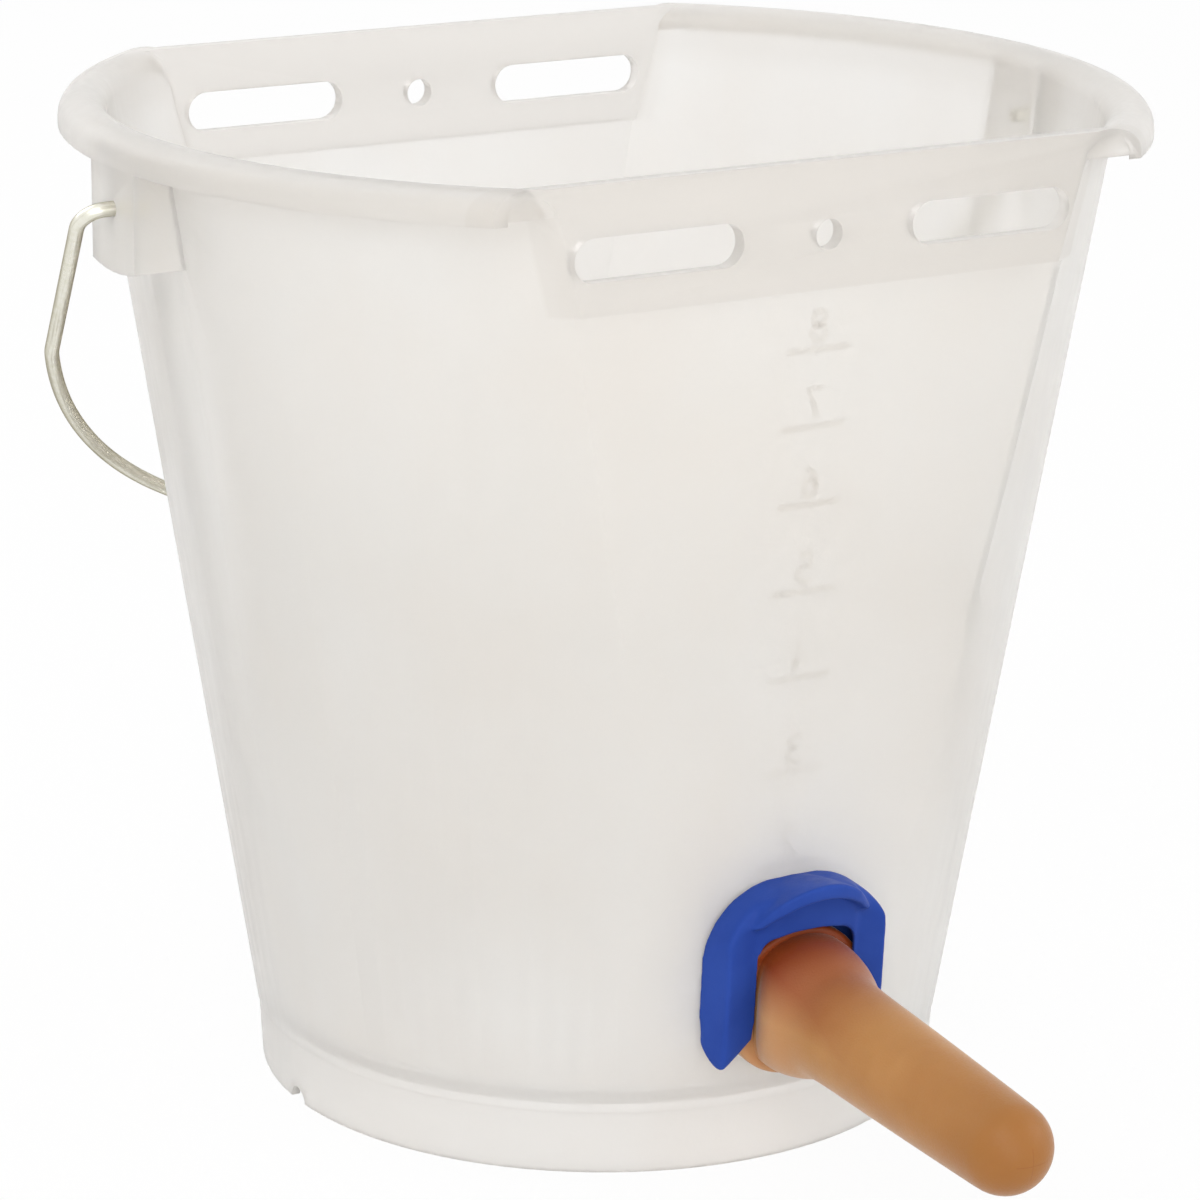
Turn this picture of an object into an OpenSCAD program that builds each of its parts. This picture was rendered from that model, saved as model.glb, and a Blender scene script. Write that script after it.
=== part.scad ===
// Calf feeder bucket: a moulded bucket with two flats, a wire bail, and a teat held by a slide-on clip.
// Millimetres. The origin is on the ground under the bucket's middle, +Z is up and -Y is the teat's side.

/* [Bucket] */
// Height over the rim
bucket_h = 280; // [250:1:320]
// Outer radius of the round wall, carried down to the ground
wall_foot_r = 95.1; // [92:0.1:100]
// Lean of the round wall: radius gained per millimetre of height
wall_lean = 0.159; // [0.14:0.001:0.18]
// Thickness of the moulded wall
wall_t = 2.5; // [2:0.1:3.2]
// Height of the inside floor
floor_z = 23; // [21:0.5:26]
// Thickness of the floor
floor_t = 3; // [2:0.1:3]
// Rounding between the floor and the wall
floor_round = 6; // [3:0.5:8]
// Height of the foot ring, up to its step
foot_h = 18; // [12:0.5:18]
// How far the foot ring stands out past the wall's line at the ground
foot_flare = 1.4; // [0.5:0.1:2]
// Depth of the step above the foot ring
foot_step = 0.4; // [0.2:0.1:0.8]
// Radius of the drain notch in the foot ring
notch_r = 4; // [2:0.5:7]

/* [Flats] */
// Distance of each flat from the axis, carried down to the ground
flat_foot_y = 97.1; // [96:0.1:98.5]
// Lean of the flats: distance gained per millimetre of height
flat_lean = 0.06; // [0.05:0.001:0.07]

/* [Hanging bands] */
// Height of the thick band along the top of each flat
band_h = 34; // [30:0.5:45]
// Thickness of the band
band_t = 4.4; // [3.8:0.1:6]
// How far the upright face of the band lies inside the top of the flat's plane
band_inset = 0.8; // [0.5:0.1:1.2]
// How far the band's top edge lies under the top of the rim
band_sunk = 0.4; // [0.2:0.1:1]
// Length of a hanging slot, over its round ends
slot_l = 49.4; // [40:0.1:50]
// Width of a hanging slot
slot_w = 11.5; // [8:0.1:14]
// Distance of a slot's centre from the middle of the band
slot_x = 50.2; // [44:0.1:50.5]
// Depth of the slots' and the peg hole's centre line under the rim
slot_drop = 19.6; // [16:0.1:22]
// Diameter of the peg hole in the middle of the band
peg_d = 8; // [5:0.1:12]

/* [Rim] */
// How far the rolled rim stands out past the top of the round wall
rim_overhang = 9.8; // [8:0.1:12]
// Straight lip under the roll
rim_lip = 2; // [1:0.1:4]
// Thickness of the web that closes each end of the roll
web_t = 1.6; // [1:0.1:2.5]
// How far the web lies back from the roll's end
web_inset = 0.4; // [0.2:0.1:1]

/* [Ears] */
// Width of an ear
ear_w = 26; // [18:0.5:30]
// Wall of an ear
ear_t = 2.5; // [2:0.1:3.5]
// How far the ear's outer face lies inside the rim's edge
ear_inset = 1.4; // [0.5:0.1:2.4]
// Depth of the ear's lower edge under the rim
ear_drop = 36.8; // [32:0.1:44]
// How far the ear's walls run up into the rolled rim
ear_root = 2; // [1:0.1:2.4]
// Radius of the ear's lower edge
ear_edge_r = 54; // [30:1:90]
// Depth of the bail's pivot under the rim
pivot_drop = 20; // [18:0.1:24]

/* [Bail] */
// Diameter of the bail's wire
wire_d = 4; // [3:0.1:5]
// Radius of the bend where the wire leaves the ear
bend_r = 6.2; // [4.5:0.1:6.6]
// How much a bend swells the wire's radius
bend_swell = 0.06; // [0.05:0.01:0.1]
// Lean of the arms towards the middle, in degrees
arm_lean = 8.4; // [7:0.1:9.5]
// Radius of the shoulder bend between an arm and the crown
shoulder_r = 20; // [12:0.5:30]
// Slope of the wire at the lower end of the shoulder bend, in degrees
crown_start = 18.7; // [17:0.1:20]
// How far the crown's radius is longer than the reach of the ear
crown_gap = 7.5; // [7:0.1:9]
// Drop of the crown's centre under the pivot
crown_drop = 15; // [12:0.5:20]
// Clearance round the wire in the ear
wire_gap = 0.3; // [0.2:0.05:0.5]
// Clearance of the wire's end in front of the wall
wire_end_gap = 1.2; // [0.5:0.1:3]
// Gap between the hanging bail and the wall it lies against
rest_gap = 0.3; // [0.2:0.05:0.6]

/* [Outlet] */
// Height of the outlet's axis on the outside of the front flat
outlet_z = 50; // [48:0.5:56]
// Clearance between the outlet hole and the neck of the valve
neck_gap = 0.3; // [0.2:0.05:0.6]

/* [Valve] */
// Diameter of the valve's neck
neck_d = 26.4; // [24:0.1:28]
// Diameter of the flange inside the bucket
inner_flange_d = 39; // [36:0.1:40]
// Thickness of the flange inside the bucket
inner_flange_t = 2.5; // [1.8:0.1:3.5]
// Thickness of the seal ring
seal_t = 1.5; // [1:0.1:2.5]
// How far the seal ring lies inside the flange's edge
seal_inset = 1.5; // [0.5:0.1:3]
// Thickness of the flange that the teat's collar grips
collar_flange_t = 2.2; // [1.5:0.1:2.6]
// Wall of the valve's spigot
spigot_t = 1.5; // [1.2:0.1:2]
// Diameter of the valve ball
ball_d = 15; // [13:0.1:15.5]
// Radial play of the ball in its chamber
ball_play = 1; // [0.6:0.1:1.2]
// Diameter of the lip that the ball seats against
seat_d = 13; // [11:0.1:13]
// Travel of the ball between its seat and its stop
ball_travel = 5; // [3:0.5:8]
// Width of the two bars that stop the ball
stop_w = 2.4; // [1.6:0.1:3.2]
// Clearance of the ball at each end of its travel
ball_gap = 0.3; // [0.2:0.05:0.5]

/* [Teat] */
// Diameter of the teat's collar
collar_d = 43; // [42:0.1:44]
// Thickness of the collar
collar_t = 5.2; // [4.8:0.1:6.5]
// Lip of the collar behind the valve's flange
collar_lip_t = 1.2; // [0.8:0.1:1.6]
// Wall of the collar round the valve's flange
collar_wall = 3.5; // [2.5:0.1:5]
// Rounding of the collar's front edge
collar_round = 1.6; // [0.5:0.1:1.8]
// Diameter of the teat's bulb, between the collar and the body
bulb_d = 39.4; // [37:0.1:41]
// Radius of the bulb's outline along the teat
bulb_crown_r = 28; // [24:0.5:34]
// Slope of the bulb's flanks beside the clip's legs, from the teat's axis, in degrees
bulb_flank = 34; // [25:1:45]
// Diameter of the teat's body at the collar, and width of the bulb between the clip's legs
teat_base_d = 30; // [27:0.1:31]
// Diameter of the teat at the start of its round tip
teat_tip_d = 25; // [22:0.1:28]
// Reach of the teat from the outside of the flat
teat_reach = 117; // [95:0.5:140]
// Wall of the teat at its tip's side
teat_wall = 4.5; // [3:0.1:6]
// Wall of the teat on its axis, at the slit
teat_end_wall = 6; // [4:0.1:9]
// Length of each cut of the cross slit
slit_l = 9; // [5:0.5:12]
// Width of each cut of the cross slit
slit_w = 0.6; // [0.4:0.1:1]
// Clearance between the rubber and the valve
rubber_gap = 0.1; // [0.05:0.05:0.3]

/* [Retaining clip] */
// Gap between the clip's back and the flat
clip_back_gap = 0.4; // [0.3:0.05:0.8]
// Thickness of the lip behind the collar
clip_lip_t = 2.4; // [1.6:0.1:3]
// Thickness of the clip's front plate
clip_front_t = 2.6; // [1.8:0.1:3.2]
// Thickness of the clip's side wall
clip_wall = 2.4; // [1.6:0.1:3]
// From the collar's edge to the clip's side, at the flat
clip_side = 5.7; // [5:0.1:8]
// How far each side of the clip draws in, from the flat to the front plate
clip_draft = 2.4; // [0.5:0.1:2.6]
// Height of the clip's top over the collar's edge
clip_crown = 12.5; // [10:0.1:16]
// Radius of the clip's shoulders
clip_corner = 22; // [16:0.5:24]
// Height of the front plate's top edge over the collar's edge
clip_front_crown = 3.5; // [3:0.1:6]
// Height of the front plate's bar over the opening
clip_bar = 3.2; // [2.5:0.1:5]
// Radius of the opening's top edge
clip_arch_r = 52; // [40:1:120]
// Radius of the opening's top corners
clip_arch_corner = 6; // [2:0.5:7]
// Depth of the leg tips' outer ends under the outlet's axis, at the front
clip_drop = 16.6; // [12:0.1:18]
// Slope of the leg tips across the legs, in degrees
clip_tip_angle = 32; // [15:1:40]
// Slope of the leg tips from the front to the flat, in degrees
clip_tip_tilt = 19; // [5:1:25]
// Clearance of the clip round the collar, the neck and the teat
clip_gap = 0.3; // [0.2:0.05:0.5]
// Width of the level edge of the front plate
clip_bead = 0.8; // [0.5:0.1:1.4]
// Fall of each leg's front face, from its outer edge to the opening
clip_dish = 1.4; // [0.6:0.1:1.5]
// Reach of the thumb hood from the flat
hood_reach = 18.5; // [14:0.5:24]
// Rise of the hood's crown at its front edge, over the clip's top
hood_rise = 3.5; // [1:0.1:5]
// Radius of the hood's front edge, seen from above
hood_plan_r = 34; // [28:0.5:40]
// Radius of the hood's upper side
hood_r = 22; // [20:0.5:24]
// Thickness of the hood's front edge at its crown
hood_t = 4.2; // [3:0.1:6]
// Radius of the hood's under side
hood_under_r = 23; // [21:0.1:30]

/* [Hidden] */
$fn = 96;
plastic_white = "#e5e2db";
wire_grey = "#a9a59b";
clip_blue = "#2b49a8";
rubber_amber = "#bd824b";
rubber_black = "#2a2a2c";
// Cutters run this far past what they cut
past = 1;
// Straight runs of the wire lap this far into its bends
lap = 0.6;
// Far larger than the bucket, for half spaces
far = 500;

function wall_r(z) = wall_foot_r + wall_lean * z;
function flat_y(z) = flat_foot_y + flat_lean * z;
flat_angle = atan(flat_lean);
band_y = flat_y(bucket_h) - band_inset;
band_z = bucket_h - band_h;
slot_z = bucket_h - slot_drop;
rim_r = wall_r(bucket_h) + rim_overhang;
// The roll spans from the inside of the wall to the rim's edge
roll_r = (rim_overhang + wall_t) / (2 - wall_lean);
roll_z = bucket_h - roll_r;
roll_x = rim_r - roll_r;
foot_r = wall_foot_r + foot_flare;
foot_top_r = wall_r(foot_h) - foot_step;
ear_x = rim_r - ear_inset;
ear_z = bucket_h - ear_drop;
ear_top_z = roll_z + ear_root;
pivot_z = bucket_h - pivot_drop;

// The bail: straight arms with a shoulder bend into the round crown, measured from the ear's outer face
wire_r = wire_d / 2;
crown_r = ear_x + crown_gap;
shoulder_x = (crown_r - shoulder_r) * cos(crown_start) - ear_x;
shoulder_z = -crown_drop - (crown_r - shoulder_r) * sin(crown_start);
arm_low_x = shoulder_x + shoulder_r * cos(arm_lean);
arm_low_z = shoulder_z - shoulder_r * sin(arm_lean);
bend_x = arm_low_x - (bend_r + (bend_r + arm_low_z) * sin(arm_lean)) / cos(arm_lean);
arm_l = (-bend_r * (1 + sin(arm_lean)) - arm_low_z) / cos(arm_lean);

// Least gap between the crown and the wall when the bail hangs back at an angle from straight down
function crown_reach(t) = crown_drop + crown_r * sin(t);
function crown_z(a, t) = pivot_z - crown_reach(t) * cos(a);
function round_gap(a, t) =
    (norm([crown_r * cos(t), crown_reach(t) * sin(a)]) - wall_r(crown_z(a, t))) * cos(atan(wall_lean));
function flat_gap(a, t) = (crown_reach(t) * sin(a) - flat_y(crown_z(a, t))) * cos(flat_angle);
function bail_gap(a) = min([for (t = [30 : 0.5 : 90]) max(round_gap(a, t), flat_gap(a, t))]) - wire_r;
// The hanging angle lies between these two, and is found by halving
hang_least = 10;
hang_most = 85;
halvings = 14;
function settle(low, high, steps) =
    steps == 0 ? high :
    let (mid = (low + high) / 2)
    bail_gap(mid) > rest_gap ? settle(low, mid, steps - 1) : settle(mid, high, steps - 1);
bail_hang = settle(hang_least, hang_most, halvings);

// Along the outlet's axis, from the outside of the flat outwards
seal_s = -wall_t - seal_t;
inner_flange_s = seal_s - inner_flange_t;
collar_s = clip_back_gap + clip_lip_t + clip_gap;
collar_flange_s = collar_s + collar_lip_t;
collar_end_s = collar_s + collar_t;
clip_front_s = collar_end_s + clip_gap;
clip_end_s = clip_front_s + clip_front_t;
bulb_s = (clip_front_s + clip_end_s) / 2;
ball_r = ball_d / 2;
chamber_r = ball_r + ball_play;
spigot_r = chamber_r + spigot_t;
seat_lip_t = inner_flange_t;
seat_s = inner_flange_s + seat_lip_t;
// The ball rests at the stop, because the outlet slopes down to the front
ball_seated_s = seat_s + sqrt(ball_r * ball_r - seat_d * seat_d / 4) + ball_gap;
ball_s = ball_seated_s + ball_travel;
stop_s = ball_s + ball_r + ball_gap;
spigot_end_s = stop_s + stop_w;
teat_base_r = teat_base_d / 2;
bulb_r = bulb_d / 2;
teat_tip_r = teat_tip_d / 2;
teat_tip_s = teat_reach - teat_tip_r;
cavity_tip_r = teat_tip_r - teat_wall;
cavity_tip_s = teat_reach - teat_end_wall - cavity_tip_r;
clip_depth = clip_end_s - clip_back_gap;
collar_flange_d = collar_d - 2 * collar_wall;
clip_half_w = collar_d / 2 + clip_side;
clip_top = collar_d / 2 + clip_crown;
clip_front_top = collar_d / 2 + clip_front_crown;
clip_arch = clip_front_top - clip_bar;

module outlet_frame() {
    translate([0, -flat_y(outlet_z), outlet_z])
        rotate([90 + flat_angle, 0, 0])
            children();
}

module both_flats() {
    children();
    rotate([0, 0, 180])
        children();
}

module both_ears() {
    children();
    mirror([1, 0, 0])
        children();
}

// The round wall as a solid, moved in by an inset
module cone_solid(inset, low, high) {
    translate([0, 0, low])
        cylinder(r1 = wall_r(low) - inset, r2 = wall_r(high) - inset, h = high - low);
}

// What lies outside a flat's plane, moved in by an inset
module beyond_flat(inset) {
    translate([0, -flat_foot_y + inset / cos(flat_angle), 0])
        rotate([flat_angle, 0, 0])
            translate([-far, -far, -far])
                cube([2 * far, far, 2 * far]);
}

// What a flat and its band's upright face leave outside the bucket
module outside_flat() {
    intersection() {
        beyond_flat(0);
        translate([-far, -far, band_z - far])
            cube([2 * far, 2 * far, far]);
    }
    translate([-far, -band_y - far, band_z])
        cube([2 * far, far, far]);
}

// The turned section of foot ring, floor and wall, with the rounding between floor and wall
module wall_section() {
    lean = atan(wall_lean);
    reach = floor_round * (1 - sin(lean)) / cos(lean);
    corner_r = wall_r(floor_z) - wall_t;
    difference() {
        polygon([
            [0, floor_z - floor_t],
            [foot_top_r - wall_t, floor_z - floor_t],
            [foot_r - wall_t, 0],
            [foot_r, 0],
            [foot_top_r, foot_h],
            [wall_r(foot_h), foot_h],
            [wall_r(roll_z), roll_z],
            [wall_r(roll_z) - wall_t / 2, roll_z + wall_t / 2],
            [wall_r(roll_z) - wall_t, roll_z],
            [corner_r + reach * sin(lean), floor_z + reach * cos(lean)],
            [corner_r - reach, floor_z],
            [0, floor_z]
        ]);
        translate([corner_r - reach, floor_z + floor_round])
            circle(floor_round);
    }
}

// The turned section of the rim: a half round roll, open below, with a straight lip
module rim_section() {
    difference() {
        translate([roll_x, roll_z])
            circle(roll_r);
        translate([roll_x, roll_z])
            circle(roll_r - wall_t);
        translate([roll_x - roll_r - past, roll_z - 2 * roll_r])
            square([2 * roll_r + 2 * past, 2 * roll_r]);
    }
    polygon([
        [rim_r - wall_t, roll_z - rim_lip],
        [rim_r, roll_z - rim_lip],
        [rim_r, roll_z],
        [rim_r - wall_t / 2, roll_z + wall_t / 2],
        [rim_r - wall_t, roll_z]
    ]);
}

module turned_shell() {
    difference() {
        rotate_extrude()
            union() {
                wall_section();
                rim_section();
            }
        both_flats()
            outside_flat();
        translate([-foot_r - past, 0, 0])
            rotate([0, 90, 0])
                cylinder(r = notch_r, h = wall_t + 2 * past + foot_step);
    }
}

// The plate that closes the turned shell along a flat
module flat_wall() {
    intersection() {
        cone_solid(wall_t / 2, floor_z - floor_t / 2, band_z + past);
        difference() {
            beyond_flat(wall_t);
            beyond_flat(0);
        }
    }
}

module slot() {
    translate([-slot_l / 2 + slot_w / 2, 0, 0])
        cylinder(d = slot_w, h = 2 * band_t);
    translate([slot_l / 2 - slot_w / 2, 0, 0])
        cylinder(d = slot_w, h = 2 * band_t);
    translate([-slot_l / 2 + slot_w / 2, -slot_w / 2, 0])
        cube([slot_l - slot_w, slot_w, 2 * band_t]);
}

module band_cuts() {
    for (x = [-slot_x, slot_x])
        translate([x, -band_y + 1.5 * band_t, slot_z])
            rotate([90, 0, 0])
                slot();
    translate([0, -band_y + 1.5 * band_t, slot_z])
        rotate([90, 0, 0])
            cylinder(d = peg_d, h = 2 * band_t);
}

// An upright plate along the top of a flat, ending in the wall and the roll
module hanging_band() {
    intersection() {
        translate([-far / 2, -band_y, band_z])
            cube([far, band_t, band_h]);
        rotate_extrude()
            polygon([
                [0, band_z],
                [wall_r(band_z) - wall_t / 4, band_z],
                [wall_r(roll_z) - wall_t / 4, roll_z],
                [roll_x - wall_t / 4, bucket_h - band_sunk],
                [0, bucket_h - band_sunk]
            ]);
    }
}

// The webs that close the roll where a flat cuts it
module roll_ends() {
    web_z = roll_z - rim_lip / 2;
    intersection() {
        translate([-far / 2, -band_y + web_inset, web_z])
            cube([far, web_t, far]);
        rotate_extrude()
            translate([roll_x, roll_z])
                circle(roll_r - wall_t / 2);
    }
}

// A pocket under the rim, open below, whose outer wall carries the bail's wire
module ear() {
    difference() {
        intersection() {
            translate([0, -ear_w / 2, ear_z])
                cube([ear_x, ear_w, ear_top_z - ear_z]);
            translate([0, 0, ear_z + ear_edge_r])
                rotate([0, 90, 0])
                    cylinder(r = ear_edge_r, h = rim_r);
        }
        cone_solid(wall_t / 2, ear_z - past, ear_top_z + past);
        translate([0, -ear_w / 2 + ear_t, ear_z - past])
            cube([ear_x - ear_t, ear_w - 2 * ear_t, ear_drop + past]);
        translate([0, 0, pivot_z])
            rotate([0, 90, 0])
                cylinder(r = wire_r + wire_gap, h = rim_r);
    }
}

module bucket() {
    color(plastic_white)
        difference() {
            union() {
                turned_shell();
                both_flats() {
                    flat_wall();
                    hanging_band();
                    roll_ends();
                }
                both_ears()
                    ear();
            }
            both_flats()
                band_cuts();
            outlet_frame()
                translate([0, 0, -2 * wall_t])
                    cylinder(r = neck_d / 2 + neck_gap, h = 4 * wall_t);
        }
}

// A curved run of the wire in the bail's plane
module wire_arc(centre, radius, from, turn, thick_r) {
    translate(centre)
        rotate([90, 0, 0])
            rotate([0, 0, from])
                rotate_extrude(angle = turn)
                    translate([radius, 0])
                        circle(thick_r);
}

// One end of the bail, hanging straight down on the +X side
module bail_end() {
    wire_end_x = wall_r(pivot_z) + wire_end_gap - ear_x;
    bent_r = wire_r + bend_swell;
    translate([ear_x, 0, 0]) {
        translate([wire_end_x, 0, 0])
            rotate([0, 90, 0])
                cylinder(r = wire_r, h = bend_x + lap - wire_end_x);
        wire_arc([bend_x, 0, -bend_r], bend_r, -arm_lean, 90 + arm_lean, bent_r);
        translate([arm_low_x, 0, arm_low_z])
            rotate([0, arm_lean, 0])
                translate([0, 0, -lap])
                    cylinder(r = wire_r, h = arm_l + 2 * lap);
        wire_arc([shoulder_x, 0, shoulder_z], shoulder_r, -crown_start, crown_start - arm_lean, bent_r);
    }
}

module bail() {
    crown_lap = lap / crown_r * 180 / PI;
    crown_from = 180 + crown_start - crown_lap;
    color(wire_grey)
        translate([0, 0, pivot_z])
            rotate([bail_hang, 0, 0]) {
                both_ears()
                    bail_end();
                wire_arc([0, 0, -crown_drop], crown_r, crown_from, 540 - 2 * crown_from, wire_r);
            }
}

// A straight round piece along the outlet's axis
module disc(r, from, to) {
    translate([0, 0, from])
        cylinder(r = r, h = to - from);
}

module valve_body() {
    color(plastic_white)
        outlet_frame() {
            difference() {
                union() {
                    disc(inner_flange_d / 2, inner_flange_s, seal_s);
                    disc(neck_d / 2, inner_flange_s, collar_flange_s + collar_flange_t);
                    disc(collar_flange_d / 2, collar_flange_s, collar_flange_s + collar_flange_t);
                    disc(spigot_r, collar_flange_s, spigot_end_s);
                }
                disc(seat_d / 2, inner_flange_s - past, seat_s + past);
                disc(chamber_r, seat_s, spigot_end_s + past);
            }
            for (turn = [0, 90])
                rotate([0, 0, turn])
                    translate([-chamber_r - spigot_t / 2, -stop_w / 2, stop_s])
                        cube([2 * chamber_r + spigot_t, stop_w, stop_w]);
        }
}

module valve_seal() {
    color(rubber_black)
        outlet_frame()
            difference() {
                disc(inner_flange_d / 2 - seal_inset, seal_s, -wall_t);
                disc(neck_d / 2 + rubber_gap, seal_s - past, 0);
            }
}

module valve_ball() {
    color(plastic_white)
        outlet_frame()
            translate([0, 0, ball_s])
                sphere(ball_r);
}

module collar_form() {
    rotate_extrude()
        union() {
            translate([0, collar_s])
                square([collar_d / 2, collar_t - collar_round]);
            translate([0, collar_s])
                square([collar_d / 2 - collar_round, collar_t]);
            translate([collar_d / 2 - collar_round, collar_end_s - collar_round])
                circle(collar_round);
        }
}

// The bulb in front of the collar: a dome that runs into the body
module bulb_form() {
    arc_x = bulb_r - bulb_crown_r;
    start_s = collar_end_s - collar_round;
    end_s = bulb_s + sqrt(pow(bulb_crown_r, 2) - pow(teat_tip_r - arc_x, 2));
    rotate_extrude()
        intersection() {
            translate([arc_x, bulb_s])
                circle(bulb_crown_r);
            translate([0, start_s])
                square([bulb_r + past, end_s - start_s]);
        }
}

// The grooves beside the bulb, in which the clip's legs slide
module leg_grooves() {
    reach = bulb_r - teat_base_r + past;
    flank_s = clip_end_s + clip_gap;
    for (side = [0, 1])
        mirror([side, 0, 0])
            rotate([90, 0, 0])
                linear_extrude(collar_d, center = true)
                    polygon([
                        [teat_base_r, collar_end_s],
                        [teat_base_r + reach, collar_end_s],
                        [teat_base_r + reach, flank_s + reach / tan(bulb_flank)],
                        [teat_base_r, flank_s],
                    ]);
}

module teat() {
    color(rubber_amber)
        outlet_frame()
            difference() {
                union() {
                    collar_form();
                    difference() {
                        bulb_form();
                        leg_grooves();
                    }
                    translate([0, 0, collar_end_s])
                        cylinder(r1 = teat_base_r, r2 = teat_tip_r, h = teat_tip_s - collar_end_s);
                    translate([0, 0, teat_tip_s])
                        sphere(teat_tip_r);
                }
                disc(neck_d / 2 + rubber_gap, collar_s - past, collar_flange_s + past);
                disc(collar_flange_d / 2 + rubber_gap, collar_flange_s, collar_flange_s + collar_flange_t);
                disc(spigot_r + rubber_gap, collar_flange_s, spigot_end_s);
                translate([0, 0, spigot_end_s])
                    cylinder(r1 = spigot_r, r2 = cavity_tip_r, h = cavity_tip_s - spigot_end_s);
                translate([0, 0, cavity_tip_s])
                    sphere(cavity_tip_r);
                for (turn = [0, 90])
                    rotate([0, 0, turn])
                        translate([-slit_l / 2, -slit_w / 2, cavity_tip_s])
                            cube([slit_l, slit_w, teat_tip_r + teat_wall]);
            }
}

// The clip's outline on the flat, moved in by an inset: round shoulders over two legs
module clip_outline(inset) {
    half_w = clip_half_w - inset;
    top = clip_top - inset;
    corner = clip_corner - inset;
    translate([-half_w, -clip_drop - clip_half_w])
        square([2 * half_w, top - corner + clip_drop + clip_half_w]);
    translate([-half_w + corner, -clip_drop])
        square([2 * (half_w - corner), top + clip_drop]);
    for (side = [-1, 1])
        translate([side * (half_w - corner), top - corner])
            circle(corner);
}

// The gap between the legs, slightly arched at the top with round corners
module leg_gap() {
    half_gap = teat_base_r + clip_gap;
    arch_y = clip_arch - clip_arch_r;
    inner_r = clip_arch_r - clip_arch_corner;
    corner_x = half_gap - clip_arch_corner;
    corner_y = arch_y + sqrt(pow(inner_r, 2) - pow(corner_x, 2));
    meet_x = corner_x * clip_arch_r / inner_r;
    low = -clip_drop - clip_half_w - past;
    translate([-half_gap, low])
        square([2 * half_gap, corner_y - low]);
    for (side = [-1, 1])
        translate([side * corner_x, corner_y])
            circle(clip_arch_corner);
    intersection() {
        translate([-meet_x, low])
            square([2 * meet_x, clip_arch - low + past]);
        translate([0, arch_y])
            circle(clip_arch_r);
    }
}

// The gap between the lips that run behind the collar, round at the top
module neck_slot() {
    slot_r = neck_d / 2 + clip_gap;
    circle(slot_r);
    translate([-slot_r, -clip_drop - clip_half_w - past])
        square([2 * slot_r, clip_drop + clip_half_w + past]);
}

// Everything under the sloping ends of the legs
module below_tips() {
    for (side = [0, 1])
        mirror([side, 0])
            translate([clip_half_w, -clip_drop])
                rotate(-clip_tip_angle)
                    translate([-clip_half_w, -2 * clip_half_w])
                        square([2 * clip_half_w, 2 * clip_half_w]);
}

// Everything over the slope from the clip's top edge at the flat to the top of the front plate
module over_shoulders(inset) {
    slope = atan((clip_top - clip_front_top) / clip_depth);
    translate([-far, clip_top, clip_back_gap])
        rotate([-slope, 0, 0])
            translate([0, -inset, -far])
                cube([2 * far, far, 2 * far]);
}

// Everything outside the two sides, which draw in towards the front
module beside_draft(inset) {
    for (side = [0, 1])
        mirror([side, 0, 0])
            translate([clip_half_w - inset, 0, clip_back_gap])
                rotate([0, -atan(clip_draft / clip_depth), 0])
                    translate([0, -far, -far])
                        cube([far, 2 * far, 2 * far]);
}

// The room for the collar between the lip and the front plate
module collar_pocket() {
    pocket_s = clip_back_gap + clip_lip_t;
    difference() {
        translate([0, 0, pocket_s])
            linear_extrude(clip_front_s - pocket_s)
                clip_outline(clip_wall);
        over_shoulders(clip_wall);
        beside_draft(clip_wall);
    }
}

// What the sloping front faces leave in front of the two legs
module leg_dish() {
    edge_x = clip_half_w - clip_draft - clip_bead;
    face_w = edge_x - teat_base_r - clip_gap;
    for (side = [0, 1])
        mirror([side, 0, 0])
            translate([-edge_x, 0, clip_end_s])
                rotate([0, atan(clip_dish / face_w), 0])
                    translate([0, -far, 0])
                        cube([face_w, 2 * far, far]);
}

// The thumb hood: a crescent that rises from the clip's top towards its front edge
module thumb_hood() {
    hood_depth = hood_reach - clip_back_gap;
    translate([0, clip_top, clip_back_gap])
        rotate([-atan(hood_rise / hood_depth), 0, 0])
            linear_extrude(hood_depth)
                difference() {
                    translate([0, -hood_r])
                        circle(hood_r);
                    translate([0, -hood_t - hood_under_r])
                        circle(hood_under_r);
                }
}

// Everything behind the hood's round front edge, seen from above, and over its blunt ends
module hood_plan() {
    translate([0, clip_front_top, hood_reach - hood_plan_r])
        rotate([-90, 0, 0])
            cylinder(r = hood_plan_r, h = 2 * hood_r);
}

module retaining_clip() {
    color(clip_blue)
        outlet_frame()
            difference() {
                union() {
                    difference() {
                        translate([0, 0, clip_back_gap])
                            linear_extrude(clip_depth)
                                clip_outline(0);
                        over_shoulders(0);
                        beside_draft(0);
                        leg_dish();
                    }
                    intersection() {
                        thumb_hood();
                        hood_plan();
                    }
                }
                collar_pocket();
                translate([0, 0, clip_back_gap - past])
                    linear_extrude(clip_lip_t + 2 * past)
                        neck_slot();
                translate([0, 0, clip_front_s - past])
                    linear_extrude(hood_reach)
                        leg_gap();
                translate([0, -clip_drop, clip_end_s])
                    rotate([clip_tip_tilt, 0, 0])
                        translate([0, clip_drop, -2 * clip_depth])
                            linear_extrude(3 * clip_depth)
                                below_tips();
            }
}

bucket();
bail();
valve_body();
valve_seal();
valve_ball();
teat();
retaining_clip();
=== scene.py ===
# %% [markdown]
# This lesson dresses a calf feeder bucket. The measured solids come first and stay fixed: they say where
# every piece is, in metres, with the ground at zero and the teat towards the reader. Everything made
# below is laid over those solids, so nothing has to be fitted by eye.

# %% Load the measured frame
import math

import bmesh
import bpy
import numpy as np
from mathutils import Matrix, Vector


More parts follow.
